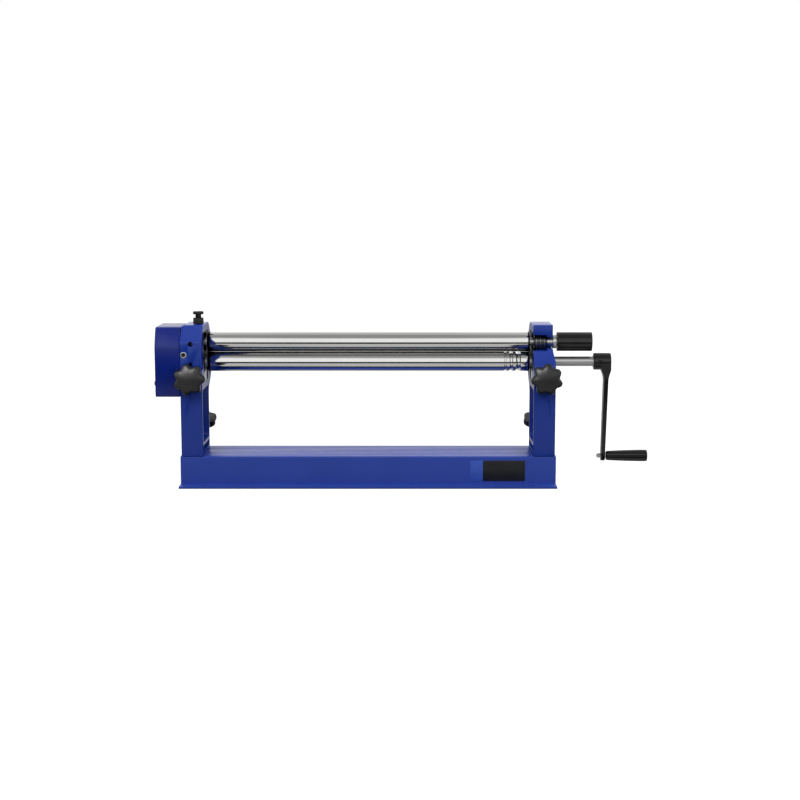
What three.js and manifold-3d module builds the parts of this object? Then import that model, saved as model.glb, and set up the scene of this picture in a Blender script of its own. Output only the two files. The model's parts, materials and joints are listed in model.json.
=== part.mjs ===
// Bench slip roll: two driven rolls and a rear bending roll between two cast side frames.
// Millimetres. X runs along the rolls, -Y is the operator's side, +Z is up.
// Inside the machine group, x = 0 is mid-roll, y = 0 holds the two driven rolls, z = 0 is the bench.
import * as THREE from 'three';
import { mergeVertices } from 'three/addons/utils/BufferGeometryUtils.js';
import Module from 'manifold-3d';

const wasm = await Module();
wasm.setup();

// Clearances
const seat = 0.3; // between pieces that rest on or fit in each other
const guide = 0.3; // sliding block in its guide, each side
const running = 0.3; // shaft in its bush
const past = 1; // reach of a cutting tool past the faces it cuts
const chamfer = 1; // turned ends

// Rolls
const rollDiameter = 39;
const rollFace = 640;
const passGap = 0.5; // between the two driven rolls, closed but not nipping
const lowerAxisZ = 242;
const rearAxisY = 61;
const rearAxisZ = 236;
const journalRadius = 9;
const rollEndGap = 6; // roll face to side frame
const rollSides = 24;
const sidesByRadius = [[5, 10], [12, 16], [Infinity, 24]]; // flats round a turned piece
const thinGrooveInset = 47.5; // from the right end
const thinGrooveWidth = 4.6;
const thinGrooveDepth = 1.6;
const middleGrooveInset = 36.2;
const middleGrooveWidth = 6.8;
const middleGrooveDepth = 3;
const wideGrooveInset = 22.1;
const wideGrooveWidth = 9.3;
const wideGrooveDepth = 4.2;

// Base channel
const deckZ = 59;
const sheet = 4;
const baseMargin = 2.4; // base past the side frames at each end
const wallFrontY = -56;
const wallRearY = 75;
const flangeWidth = 31;
const foldRadius = 4;
const benchHoleRadius = 5.5;
const benchHoleInset = 48; // from the base's end
const benchHoleOffset = 16; // outwards from the wall

// Side frames
const frameThickness = 43;
const postRearY = 47;
const headTopZ = 317;
const headTopRearY = 59;
const headRearY = 93;
const headRearTopZ = 288;
const headRearLowZ = 208;
const headUnderZ = 181;
const castEdge = 1.2;
const headRound = 8; // setbacks of the outline's rounded corners
const neckRound = 14;
const browRound = 4;
const slopeRound = 6;
const pocketDepth = 30;
const pocketRim = 7;
const pocketRound = 8;
const pocketLowZ = 85;
const pocketHighZ = 190;
const recessLowZ = 67;
const recessHighZ = 79;
const recessRound = 4;
const guideDepth = 32; // bearing block guides, from the inner face

// Right head
const slopeLowZ = 238;
const slopeHighZ = 278;
const shoulderDepth = 4.5; // the head is narrower than its post by this
const shoulderLowZ = 243;
const shoulderHighZ = 266;
const rightTopFrontY = -28;
const sleeveRadius = 15.35;
const sleeveLength = 24;
const sleeveInset = 3; // from the side frame's inner face
const sleeveRings = 3;
const sleeveRingDepth = 0.8;

// Left head
const leftSlopeLowZ = 286;
const leftTopFrontY = -28;
const topCornerRadius = 8;
const pivotInset = 12.3; // pivot axis, from the inner face
const swivelRadius = 15.5;
const swivelHalfHeight = 18;
const swivelBushHalf = 10;
const bushInSwivel = 11.4; // outer radius
const pivotRadius = 5.8;
const journalPastPivot = 12;
const pivotHeadRise = 25; // top of the pivot screw above the head
const pivotTipDepth = 5; // in the swivel block
const pivotHeadRadius = 10.5;
const pivotHeadHeight = 5.8;
const locknutRadius = 10.35;
const locknutHeight = 12;
const oilHoleRadius = 5;
const lowerOilHoleRadius = 4;
const oilHoleInset = 21.5;
const oilHoleDepth = 30;
const clampScrewInset = 7.4; // axis, from the frame's outer face
const clampScrewZ = 260;
const clampHeadRadius = 6.4;
const clampHeadHeight = 10;
const clampShankRadius = 3.5;
const clampLength = 26;
const hexShare = 0.5; // a hexagon socket's radius, of its head's
const hexSink = 0.6; // a hexagon socket's depth, of its head's height

// Gear cover
const coverDepth = 49;
const coverWall = 2.5;
const coverRimWidth = 9; // round the mouth, against the side frame
const coverRimThickness = 3;
const coverDrop = 3; // below the head's top
const coverLowZ = 177;
const coverRearY = 55;
const coverSlopeLowZ = 279;
const coverSlopeFrontY = -40; // the slope's upper end
const coverRadius = 6;
const coverBossRadius = 6;
const coverScrewRadius = 2.5;
const coverScrewHeadRadius = 4.8;
const coverScrewHeadHeight = 3;
const coverScrewGrip = 11; // length in the side frame
const coverScrewInset = 16; // from the cover's edges
const coverScrewRise = 26;

// Gears
const gearTeeth = 16;
const gearTipRadius = 22;
const gearRootRadius = 15.5;
const toothTipWidth = 1.7;
const toothRootWidth = 4.2;
const gearWidth = 16;
const gearFrameGap = 6;
const gearSeatRadius = 6;
const gearThreadRadius = 5;
const gearNutHeight = 6;
const gearNutRadius = 10;
const stubBushRadius = 9;
const stubNeckRadius = 3;
const stubBushGap = 1; // between the stub's bush and the swivel block
const ballRadius = 6.4;
const socketRadius = 7;
const socketDepth = 20;
const hexSides = 6;

// Lower blocks, wedges and front screws
const bushRadius = 12.5;
const blockHalfWidth = 17;
const blockLength = 30;
const lowerBlockHalfHeight = 18;
const blockFootZ = 224;
const wedgeFloorZ = 203;
const wedgeRise = 0.15; // lift for each millimetre of wedge travel
const wedgeHalfLength = 17;
const wedgeForward = 2;
const wedgeBack = 17;
const wedgeRoom = 2; // free past the wedge's travel
const lowerLift = wedgeRise * wedgeForward;
const frontScrewZ = 214;
const frontScrewRadius = 4;
const frontCollarRadius = 7;
const frontCollarLength = 4;
const screwInset = 24.5; // adjusting screws, from the inner face
const journalWindow = 3; // round the lower journals in the outer walls

// Rear blocks and screws, in a frame tilted back at its foot
const rearTilt = THREE.MathUtils.degToRad(22.3);
const rearUp = 14;
const rearDown = 6;
const rearBlockHalfWidth = 16;
const rearBlockHalfHeight = 17.5;
const rearScrewRadius = 5;
const rearKnobReach = 139.5; // roll axis to knob
const rearScrewSocket = 4; // depth in the block's foot

// Star knobs
const knobRadius = 31.5;
const knobLobes = 7;
const knobLobeDepth = 6.5;
const knobLobePower = 1.3; // above 1 the lobes are full and the hollows narrow
const knobStepsPerLobe = 4;
const knobHubRadius = 12;
const knobHubLength = 9;
const knobBodyLength = 21;
const knobCrown = 11; // solid over the screw's end
const knobTurns = { left: 26, right: 44 }; // degrees

// Upper roll's right end
const upperShaftRadius = 8;
const collarRadius = 13.75;
const collarLength = 8;
const collarGap = 1.3; // from the right head
const neckRadius = 11.2; // the collar's neck, in the outer part of the slot
const neckRoom = 0.6; // between the sleeve, the slot's step and the neck
const handleGap = 1.7;
const handleRadius = 19;
const handleLength = 70.5;
const handleBottom = 10; // solid past the shaft's end
const handleEdge = 1.5;

// Crank
const crankShaftRadius = 10;
const crankShaftReach = 79.8; // side frame to crank hub
const crankHubRadius = 17;
const crankHubLength = 34.2;
const crankHubFloor = 4; // solid past the shaft's end
const crankHubEdge = 1.2;
const crankRadius = 191;
const armThickness = 8.5;
const armTopInset = 4.5; // below the hub, from the hub's end
const armLean = 4.1; // towards the machine at the foot
const armFootThickness = 7.5;
const armRootThickness = 18.8;
const armNeckDrop = 15; // below the hub
const armNeckRound = 8;
const armFootRound = 8;
const armRootHalfWidth = 15;
const armNeckHalfWidth = 12;
const armFootHalfWidth = 10;
const armTaperRise = 20; // above the grip, where the arm reaches its foot's width
const gripLength = 82.6;
const gripEndRadius = 11.2;
const gripNeckRadius = 9.4;
const gripPinRadius = 4;
const gripThreadRadius = 3;
const gripNutRadius = 4.6;
const gripNutHeight = 6;
const gripBottom = 8; // solid past the pin's end
const gripLean = 0.6; // of the arm's faces at the grip, past its foot
const gripShoulder = 1.6; // pin's collar between the arm and the grip
const setScrewRadius = 3;
const setScrewSink = 1; // below the hub's skin
const setScrewHex = 4;

// Foot bolts
const footBoltRadius = 4;
const footHeadRadius = 7.5;
const footHeadHeight = 5.5;
const footNutHeight = 6.5;
const footBoltInset = 16;
const threadPastNut = 2;
const footBoltYs = { front: -32, rear: 24 };

// Derived places
const rollRadius = rollDiameter / 2;
const upperAxisZ = lowerAxisZ + rollDiameter + passGap;
const frameInner = rollFace / 2 + rollEndGap;
const frameOuter = frameInner + frameThickness;
const baseHalf = frameOuter + baseMargin;
const pivotX = -(frameInner + pivotInset);
const footZ = deckZ + seat;
const screwX = frameInner + screwInset;
const gearStart = frameOuter + gearFrameGap;
const gearEnd = gearStart + gearWidth;
const collarStart = frameOuter - shoulderDepth + collarGap;
const sleeveEnd = frameInner + sleeveInset + sleeveLength;
const handleStart = collarStart + collarLength + handleGap;
const upperShaftEnd = handleStart + handleLength - handleBottom;
const hubStart = frameOuter + crankShaftReach;
const hubEnd = hubStart + crankHubLength;
const gripZ = -crankRadius; // from the lower roll's axis
const setScrewX = hubStart + crankHubLength / 3;
const pivotTopZ = headTopZ + pivotHeadRise;
const coverEndX = -(frameOuter + coverDepth);
const wedgePocketFrontY = -(wedgeHalfLength + wedgeForward + frontCollarLength + wedgeRoom);
const grooves = [
  { inset: thinGrooveInset, width: thinGrooveWidth, depth: thinGrooveDepth },
  { inset: middleGrooveInset, width: middleGrooveWidth, depth: middleGrooveDepth },
  { inset: wideGrooveInset, width: wideGrooveWidth, depth: wideGrooveDepth },
];
const coverScrews = [
  { name: 'cover_screw_lower', y: wallFrontY + coverScrewInset, z: coverLowZ + coverScrewRise },
  { name: 'cover_screw_upper', y: coverRearY - coverScrewInset, z: headTopZ - coverScrewRise },
];

const sides = { left: -1, right: 1 };
const X = new THREE.Vector3(1, 0, 0);
const Y = new THREE.Vector3(0, 1, 0);
const Z = new THREE.Vector3(0, 0, 1);
const FORWARD = new THREE.Vector3(0, -1, 0);
const DOWN = new THREE.Vector3(0, 0, -1);

// Signed volume of an indexed geometry, positive when its faces point out.
function signedVolume(geometry) {
  const place = geometry.getAttribute('position');
  const index = geometry.index.array;
  const [a, b, c] = [new THREE.Vector3(), new THREE.Vector3(), new THREE.Vector3()];
  let sum = 0;
  for (let i = 0; i < index.length; i += 3) {
    a.fromBufferAttribute(place, index[i]);
    b.fromBufferAttribute(place, index[i + 1]);
    c.fromBufferAttribute(place, index[i + 2]);
    sum += a.dot(b.cross(c));
  }
  return sum;
}

// Shares corners, drops empty faces and points every face out.
function weld(geometry) {
  const bare = geometry.clone();
  bare.deleteAttribute('normal');
  bare.deleteAttribute('uv');
  const merged = mergeVertices(bare, 1e-4);
  const index = merged.index.array;
  const faces = [];
  for (let i = 0; i < index.length; i += 3) {
    const [a, b, c] = index.slice(i, i + 3);
    if (a !== b && b !== c && c !== a) faces.push(a, b, c);
  }
  merged.setIndex(faces);
  if (signedVolume(merged) < 0) merged.setIndex(faces.reverse());
  return merged;
}

function toManifold(geometry) {
  const welded = weld(geometry);
  const vertProperties = new Float32Array(welded.getAttribute('position').array);
  const triVerts = new Uint32Array(welded.index.array);
  return new wasm.Manifold(new wasm.Mesh({ numProp: 3, vertProperties, triVerts }));
}

function toGeometry(manifold) {
  const mesh = manifold.getMesh();
  const geometry = new THREE.BufferGeometry();
  geometry.setAttribute('position', new THREE.BufferAttribute(mesh.vertProperties, 3));
  geometry.setIndex(new THREE.BufferAttribute(mesh.triVerts, 1));
  return geometry;
}

function combine(method, first, others) {
  let result = toManifold(first);
  for (const other of others) {
    result = result[method](toManifold(other));
  }
  return toGeometry(result);
}

const cut = (body, ...tools) => combine('subtract', body, tools);
const join = (body, ...others) => combine('add', body, others);
const common = (body, ...others) => combine('intersect', body, others);

// A block between two limits on each axis, given in either order.
function block(x, y, z) {
  const spans = [x, y, z];
  const geometry = new THREE.BoxGeometry(...spans.map(([a, b]) => Math.abs(b - a)));
  return geometry.translate(...spans.map(([a, b]) => (a + b) / 2));
}

// A solid of revolution: stations [along, radius] from an origin along a direction.
function turned(stations, direction = X, origin = new THREE.Vector3(), flats = 0) {
  const last = stations[stations.length - 1];
  const widest = Math.max(...stations.map(([, radius]) => radius));
  const segments = flats || sidesByRadius.find(([limit]) => widest < limit)[1];
  const profile = [[stations[0][0], 0], ...stations, [last[0], 0]];
  const points = profile.map(([along, radius]) => new THREE.Vector2(radius, along));
  const geometry = new THREE.LatheGeometry(points, segments);
  geometry.applyQuaternion(new THREE.Quaternion().setFromUnitVectors(Y, direction));
  return geometry.translate(origin.x, origin.y, origin.z);
}

const at = (x, y, z) => new THREE.Vector3(x, y, z);
const rod = (start, end, radius, direction = X, origin = at(0, 0, 0), flats = 0) =>
  turned([[start, radius], [end, radius]], direction, origin, flats);

// A closed outline from corners [across, up, setback]; the setback rounds that corner.
function outline(corners) {
  const shape = new THREE.Shape();
  const count = corners.length;
  corners.forEach(([u, v, setback = 0], i) => {
    const corner = new THREE.Vector2(u, v);
    const before = new THREE.Vector2(...corners[(i + count - 1) % count]).sub(corner);
    const after = new THREE.Vector2(...corners[(i + 1) % count]).sub(corner);
    const start = before.setLength(setback).add(corner);
    const end = after.setLength(setback).add(corner);
    if (i === 0) shape.moveTo(start.x, start.y);
    else shape.lineTo(start.x, start.y);
    if (setback > 0) shape.quadraticCurveTo(u, v, end.x, end.y);
  });
  shape.closePath();
  return shape;
}

// The corners of a convex outline moved inwards by a wall's thickness.
function inwards(corners, wall) {
  const count = corners.length;
  const points = corners.map(([u, v]) => new THREE.Vector2(u, v));
  return points.map((corner, i) => {
    const before = points[(i + count - 1) % count].clone().sub(corner).normalize();
    const after = points[(i + 1) % count].clone().sub(corner).normalize();
    const inner = before.clone().add(after).normalize();
    const moved = corner.clone().addScaledVector(inner, wall / Math.abs(after.cross(inner)));
    return [moved.x, moved.y, Math.max(corners[i][2] - wall, 0)];
  });
}

// Extrudes a [y, z] outline along X between two limits.
function alongX(shape, from, to, edge = 0) {
  const low = Math.min(from, to);
  const length = Math.abs(to - from);
  const geometry = new THREE.ExtrudeGeometry(shape, {
    depth: length - 2 * edge,
    curveSegments: 3,
    bevelEnabled: edge > 0,
    bevelThickness: edge,
    bevelSize: edge,
    bevelOffset: -edge,
    bevelSegments: 1,
  });
  geometry.applyMatrix4(new THREE.Matrix4().makeBasis(Y, Z, X));
  return geometry.translate(low + edge, 0, 0);
}

// Extrudes an [x, z] outline along Y between two limits.
function alongY(shape, from, to) {
  const depth = Math.abs(to - from);
  const geometry = new THREE.ExtrudeGeometry(shape, { depth, curveSegments: 6, bevelEnabled: false });
  geometry.applyMatrix4(new THREE.Matrix4().makeBasis(X, Z, FORWARD));
  return geometry.translate(0, Math.max(from, to), 0);
}

// Joins rings of equal length into one closed skin with a point in the middle of each end.
function loft(rings) {
  const count = rings[0].length;
  const points = rings.flat();
  const middle = (ring) => ring.reduce((sum, p) => sum.add(p), at(0, 0, 0)).divideScalar(count);
  const first = points.push(middle(rings[0])) - 1;
  const last = points.push(middle(rings[rings.length - 1])) - 1;
  const faces = [];
  for (let i = 0; i < count; i += 1) {
    const next = (i + 1) % count;
    const top = (rings.length - 1) * count;
    faces.push(first, i, next);
    faces.push(last, top + next, top + i);
    for (let row = 0; row < rings.length - 1; row += 1) {
      const [a, b] = [row * count + i, row * count + next];
      faces.push(a, a + count, b);
      faces.push(b, a + count, b + count);
    }
  }
  const geometry = new THREE.BufferGeometry().setFromPoints(points);
  geometry.setIndex(faces);
  return geometry;
}

const paint = { color: 0x2b3c8c, roughness: 0.28, metalness: 0.1 };
const castPaint = { color: 0x2c3f98, roughness: 0.26, metalness: 0.1 };
const polishedSteel = { color: 0xb4b4b2, roughness: 0.18, metalness: 1.0 };
const turnedSteel = { color: 0x9a9a98, roughness: 0.35, metalness: 1.0 };
const blackSteel = { color: 0x262626, roughness: 0.4, metalness: 0.6 };
const brightZinc = { color: 0xc8ccd0, roughness: 0.3, metalness: 1.0 };
const bronze = { color: 0xa9793c, roughness: 0.4, metalness: 1.0 };
const gearSteel = { color: 0x6f7072, roughness: 0.45, metalness: 1.0 };
const blackPlastic = { color: 0x232323, roughness: 0.32, metalness: 0.0 };
const castIron = { color: 0x4a4a4c, roughness: 0.6, metalness: 0.8 };

const machine = new THREE.Group();

function assembly(parent, x, y, z) {
  const group = new THREE.Group();
  group.position.set(x, y, z);
  parent.add(group);
  return group;
}

function add(parent, name, geometry, finish) {
  const material = new THREE.MeshStandardMaterial({ ...finish, flatShading: true });
  const mesh = new THREE.Mesh(weld(geometry), material);
  mesh.name = name;
  parent.add(mesh);
  return mesh;
}

const upperRollGroup = assembly(machine, 0, 0, upperAxisZ);
const lowerRollGroup = assembly(machine, 0, 0, lowerAxisZ);
const rearGroup = assembly(machine, 0, rearAxisY, rearAxisZ);
rearGroup.rotation.x = rearTilt;
rearGroup.updateMatrix();

// Tools that the rear group's pieces and the side frames share are turned with that group.
const tilted = (geometry) => geometry.applyMatrix4(rearGroup.matrix);

function baseChannel() {
  const flangeFrontY = wallFrontY - flangeWidth;
  const flangeRearY = wallRearY + flangeWidth;
  const section = outline([
    [flangeFrontY, 0],
    [flangeFrontY, sheet],
    [wallFrontY, sheet],
    [wallFrontY, deckZ, foldRadius],
    [wallRearY, deckZ, foldRadius],
    [wallRearY, sheet],
    [flangeRearY, sheet],
    [flangeRearY, 0],
    [wallRearY - sheet, 0],
    [wallRearY - sheet, deckZ - sheet],
    [wallFrontY + sheet, deckZ - sheet],
    [wallFrontY + sheet, 0],
  ]);
  const holes = [];
  for (const side of Object.values(sides)) {
    const benchX = side * (baseHalf - benchHoleInset);
    for (const y of [wallFrontY - benchHoleOffset, wallRearY + benchHoleOffset]) {
      holes.push(rod(-past, sheet + past, benchHoleRadius, Z, at(benchX, y, 0)));
    }
    for (const y of Object.values(footBoltYs)) {
      const boltX = side * (frameInner + footBoltInset);
      holes.push(rod(deckZ - sheet - past, deckZ + past, footBoltRadius + seat, Z, at(boltX, y, 0)));
    }
  }
  return cut(alongX(section, -baseHalf, baseHalf), ...holes);
}

// The head's outline differs between the sides in its front and top only.
function frameOutline(frontCorners) {
  return outline([
    [wallFrontY, footZ],
    ...frontCorners,
    [headTopRearY, headTopZ, headRound],
    [headRearY, headRearTopZ, headRound],
    [headRearY, headRearLowZ, neckRound],
    [postRearY, headUnderZ, neckRound],
    [postRearY, footZ],
  ]);
}

const rightFront = [
  [wallFrontY, slopeLowZ, slopeRound],
  [rightTopFrontY, slopeHighZ, browRound],
  [rightTopFrontY, headTopZ, browRound],
];
const leftFront = [
  [wallFrontY, leftSlopeLowZ, browRound],
  [leftTopFrontY, headTopZ, browRound],
];

// Cuts that both side frames have: pockets, block guides, screw holes and bolt holes.
function sharedFrameCuts(side) {
  const inner = side * (frameInner - past);
  const across = (depth) => side * (frameInner + depth);
  const pocketFront = wallFrontY + pocketRim;
  const pocketRear = postRearY - pocketRim;
  const pocket = outline([
    [pocketFront, pocketLowZ, pocketRound],
    [pocketFront, pocketHighZ, pocketRound],
    [pocketRear, pocketHighZ, pocketRound],
    [pocketRear, pocketLowZ, pocketRound],
  ]);
  const recess = outline([
    [pocketFront, recessLowZ, recessRound],
    [pocketFront, recessHighZ, recessRound],
    [pocketRear, recessHighZ, recessRound],
    [pocketRear, recessLowZ, recessRound],
  ]);
  const wedgeRearY = wedgeHalfLength + wedgeBack + wedgeRoom;
  const wedgeTopZ = blockFootZ + wedgeRise * (wedgeHalfLength + wedgeForward);
  const guideTopZ = lowerAxisZ + lowerBlockHalfHeight + lowerLift + guide;
  const windowLift = (lowerLift - wedgeRise * wedgeBack) / 2;
  const windowAt = at(0, 0, lowerAxisZ + windowLift);
  const screwAt = at(side * screwX, 0, frontScrewZ);
  const rearLow = -(rearBlockHalfHeight + rearDown + guide);
  const rearHigh = rearBlockHalfHeight + rearUp + guide;
  const cuts = [
    alongX(pocket, inner, across(pocketDepth)),
    alongX(recess, inner, across(pocketDepth)),
    block([inner, across(guideDepth)], [wedgePocketFrontY, wedgeRearY], [wedgeFloorZ - guide, wedgeTopZ]),
    block([inner, across(guideDepth)], [-blockHalfWidth, blockHalfWidth], [blockFootZ, guideTopZ]),
    rod(across(guideDepth - past), across(frameThickness + past), journalRadius + journalWindow, X, windowAt),
    tilted(block([inner, across(guideDepth)], [-rearBlockHalfWidth, rearBlockHalfWidth], [rearLow, rearHigh])),
    tilted(rod(-rearKnobReach / 2, rearLow + past, rearScrewRadius + running, Z, at(side * screwX, 0, 0))),
    rod(wallFrontY - past, wedgePocketFrontY + past, frontScrewRadius + running, Y, screwAt),
  ];
  for (const y of Object.values(footBoltYs)) {
    const boltX = side * (frameInner + footBoltInset);
    cuts.push(rod(footZ - past, recessLowZ + past, footBoltRadius + seat, Z, at(boltX, y, 0)));
  }
  return cuts;
}

// Material outside the right head, whose outer face steps in above the post.
function shoulderWaste() {
  const headOuter = frameOuter - shoulderDepth;
  return alongY(outline([
    [frameOuter, shoulderLowZ],
    [headOuter, shoulderHighZ, browRound],
    [headOuter, headTopZ + past],
    [frameOuter + past, headTopZ + past],
    [frameOuter + past, shoulderLowZ],
  ]), wallFrontY - past, headRearY + past);
}

function rightSideFrame() {
  const body = alongX(frameOutline(rightFront), frameInner, frameOuter, castEdge);
  const slot = (from, to, radius) => join(
    rod(from, to, radius, X, at(0, 0, upperAxisZ)),
    block([from, to], [wallFrontY - past, 0], [upperAxisZ - radius, upperAxisZ + radius]),
  );
  const sleeveSlot = slot(frameInner - past, sleeveEnd + neckRoom, sleeveRadius + seat);
  const neckSlot = slot(sleeveEnd, frameOuter + past, neckRadius + 2 * seat);
  return cut(body, sleeveSlot, neckSlot, shoulderWaste(), ...sharedFrameCuts(sides.right));
}

function clampScrewHole() {
  const axis = at(-(frameOuter - clampScrewInset), wallFrontY, clampScrewZ);
  return turned([
    [-past, clampHeadRadius + seat],
    [clampHeadHeight + seat, clampHeadRadius + seat],
    [clampHeadHeight + seat, clampShankRadius + seat],
    [clampLength + past, clampShankRadius + seat],
  ], Y, axis);
}

// Material outside the rounded outer top edge of the left head.
function topCornerWaste() {
  const centreX = -(frameOuter - topCornerRadius);
  const centreZ = headTopZ - topCornerRadius;
  const corner = block(
    [centreX, -(frameOuter + past)],
    [wallFrontY - past / 2, headRearY + past / 2],
    [centreZ, headTopZ + past],
  );
  return cut(corner, rod(wallFrontY - past, headRearY + past, topCornerRadius, Y, at(centreX, 0, centreZ)));
}

function leftSideFrame() {
  const body = alongX(frameOutline(leftFront), -frameInner, -frameOuter, castEdge);
  const halfWidth = swivelRadius + guide;
  const low = upperAxisZ - swivelHalfHeight - guide;
  const high = upperAxisZ + swivelHalfHeight + guide;
  const holeX = -(frameInner + oilHoleInset);
  const cuts = [
    rod(low, high, halfWidth, Z, at(pivotX, 0, 0)),
    block([pivotX, -(frameInner - past)], [-halfWidth, halfWidth], [low, high]),
    rod(high - past, headTopZ + past, pivotRadius + seat, Z, at(pivotX, 0, 0)),
    rod(-(frameOuter + past), pivotX, stubBushRadius + seat, X, at(0, 0, upperAxisZ)),
    rod(wallFrontY - past, wallFrontY + oilHoleDepth, oilHoleRadius, Y, at(holeX, 0, upperAxisZ)),
    rod(wallFrontY - past, wallFrontY + oilHoleDepth, lowerOilHoleRadius, Y, at(holeX, 0, lowerAxisZ)),
    clampScrewHole(),
    topCornerWaste(),
  ];
  for (const { y, z } of coverScrews) {
    const deep = -(frameOuter - coverScrewGrip - seat);
    cuts.push(rod(-(frameOuter + past), deep, coverScrewRadius + seat, X, at(0, y, z)));
  }
  return cut(body, ...cuts, ...sharedFrameCuts(sides.left));
}

// A five-sided shell, open towards the side frame inside a rim, with two bosses for its screws.
function gearCover() {
  const mouthX = -(frameOuter + seat);
  const topZ = headTopZ - coverDrop;
  const corners = [
    [wallFrontY, coverLowZ, coverRadius],
    [wallFrontY, coverSlopeLowZ, coverRadius],
    [coverSlopeFrontY, topZ, coverRadius],
    [coverRearY, topZ, coverRadius],
    [coverRearY, coverLowZ, coverRadius],
  ];
  const shell = cut(
    alongX(outline(corners), mouthX, coverEndX, castEdge),
    alongX(outline(inwards(corners, coverWall)), mouthX - coverRimThickness, coverEndX + coverWall),
    alongX(outline(inwards(corners, coverRimWidth)), mouthX + past, mouthX - coverRimThickness - past),
  );
  const bosses = [];
  const holes = [];
  for (const { y, z } of coverScrews) {
    const axis = at(0, y, z);
    bosses.push(rod(coverEndX + coverWall / 2, mouthX, coverBossRadius, X, axis));
    holes.push(rod(coverEndX - past, mouthX + past, coverScrewRadius + seat, X, axis));
  }
  return cut(join(shell, ...bosses), ...holes);
}

function socketHead(length, headRadius, headHeight, shankRadius, direction, origin) {
  const body = turned([
    [0, headRadius],
    [headHeight, headRadius],
    [headHeight, shankRadius],
    [length, shankRadius],
  ], direction, origin);
  const socket = rod(-past, headHeight * hexSink, headRadius * hexShare, direction, origin, hexSides);
  return cut(body, socket);
}

function addFramesAndBase() {
  add(machine, 'base_channel', baseChannel(), paint);
  add(machine, 'left_side_frame', leftSideFrame(), castPaint);
  add(machine, 'right_side_frame', rightSideFrame(), castPaint);
  add(machine, 'gear_cover', gearCover(), castPaint);
  const clampOrigin = at(-(frameOuter - clampScrewInset), wallFrontY + seat, clampScrewZ);
  const clamp = socketHead(clampLength, clampHeadRadius, clampHeadHeight, clampShankRadius, Y, clampOrigin);
  add(machine, 'clamp_screw', clamp, brightZinc);
  for (const { name, y, z } of coverScrews) {
    const length = coverScrewHeadHeight + seat + coverDepth + coverScrewGrip;
    const start = coverEndX - seat - coverScrewHeadHeight;
    const screw = socketHead(
      length, coverScrewHeadRadius, coverScrewHeadHeight, coverScrewRadius, X, at(start, y, z),
    );
    add(machine, name, screw, blackSteel);
  }
}

// Each foot bolt stands in the frame's foot recess, with its nut under the deck.
function addFootBolts() {
  const headZ = recessLowZ + seat;
  const nutTopZ = deckZ - sheet - seat;
  const nutLowZ = nutTopZ - footNutHeight;
  for (const [sideName, side] of Object.entries(sides)) {
    for (const [row, y] of Object.entries(footBoltYs)) {
      const axis = at(side * (frameInner + footBoltInset), y, 0);
      const shank = rod(nutLowZ - threadPastNut, headZ + footHeadHeight / 2, footBoltRadius, Z, axis);
      const head = rod(headZ, headZ + footHeadHeight, footHeadRadius, Z, axis, hexSides);
      add(machine, `foot_bolt_${sideName}_${row}`, join(shank, head), blackSteel);
      const nut = rod(nutLowZ, nutTopZ, footHeadRadius, Z, axis, hexSides);
      const hole = rod(nutLowZ - past, nutTopZ + past, footBoltRadius + seat, Z, axis);
      add(machine, `foot_nut_${sideName}_${row}`, cut(nut, hole), blackSteel);
    }
  }
}

// The pivot screw drops through the roof of the left head into the top of the swivel block.
function addPivot() {
  const axis = at(pivotX, 0, 0);
  const tipZ = upperAxisZ + swivelHalfHeight - pivotTipDepth;
  const headLowZ = pivotTopZ - pivotHeadHeight;
  const screw = turned([
    [tipZ, pivotRadius],
    [headLowZ, pivotRadius],
    [headLowZ, pivotHeadRadius - chamfer],
    [headLowZ + chamfer, pivotHeadRadius],
    [pivotTopZ - chamfer, pivotHeadRadius],
    [pivotTopZ, pivotHeadRadius - chamfer],
  ], Z, axis);
  add(machine, 'pivot_screw', screw, blackSteel);
  const nutLowZ = headTopZ + seat;
  const nut = turned([
    [nutLowZ, locknutRadius],
    [nutLowZ + locknutHeight - chamfer, locknutRadius],
    [nutLowZ + locknutHeight, locknutRadius - chamfer],
  ], Z, axis);
  const hole = rod(nutLowZ - past, nutLowZ + locknutHeight + past, pivotRadius + seat, Z, axis);
  add(machine, 'pivot_locknut', cut(nut, hole), blackSteel);
  const centre = at(pivotX, 0, upperAxisZ);
  const swivel = cut(
    rod(-swivelHalfHeight, swivelHalfHeight, swivelRadius, Z, centre),
    rod(-swivelRadius - past, swivelRadius + past, bushInSwivel + seat, X, centre),
    rod(tipZ - upperAxisZ - seat, swivelHalfHeight + past, pivotRadius + seat, Z, centre),
  );
  add(machine, 'upper_swivel_block', swivel, castIron);
  const swivelBush = bush(bushInSwivel, journalRadius, pivotX - swivelBushHalf, pivotX + swivelBushHalf);
  add(upperRollGroup, 'swivel_bush', swivelBush, bronze);
}

function bush(outer, shaft, from, to) {
  const [low, high] = [Math.min(from, to), Math.max(from, to)];
  return cut(rod(low, high, outer), rod(low - past, high + past, shaft + running));
}

// Stations of a roll's barrel with its round-bottomed wire grooves near the right end.
function grooveStations() {
  const stations = [];
  const steps = 4;
  for (const { inset, width, depth } of grooves) {
    for (let i = 0; i <= steps; i += 1) {
      const turn = (i / steps) * Math.PI;
      const along = rollFace / 2 - inset - (width / 2) * Math.cos(turn);
      stations.push([along, rollRadius - depth * Math.sin(turn)]);
    }
  }
  return stations;
}

function barrel(withGrooves) {
  return [
    [-rollFace / 2, rollRadius - chamfer],
    [-rollFace / 2 + chamfer, rollRadius],
    ...(withGrooves ? grooveStations() : []),
    [rollFace / 2 - chamfer, rollRadius],
    [rollFace / 2, rollRadius - chamfer],
  ];
}

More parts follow.
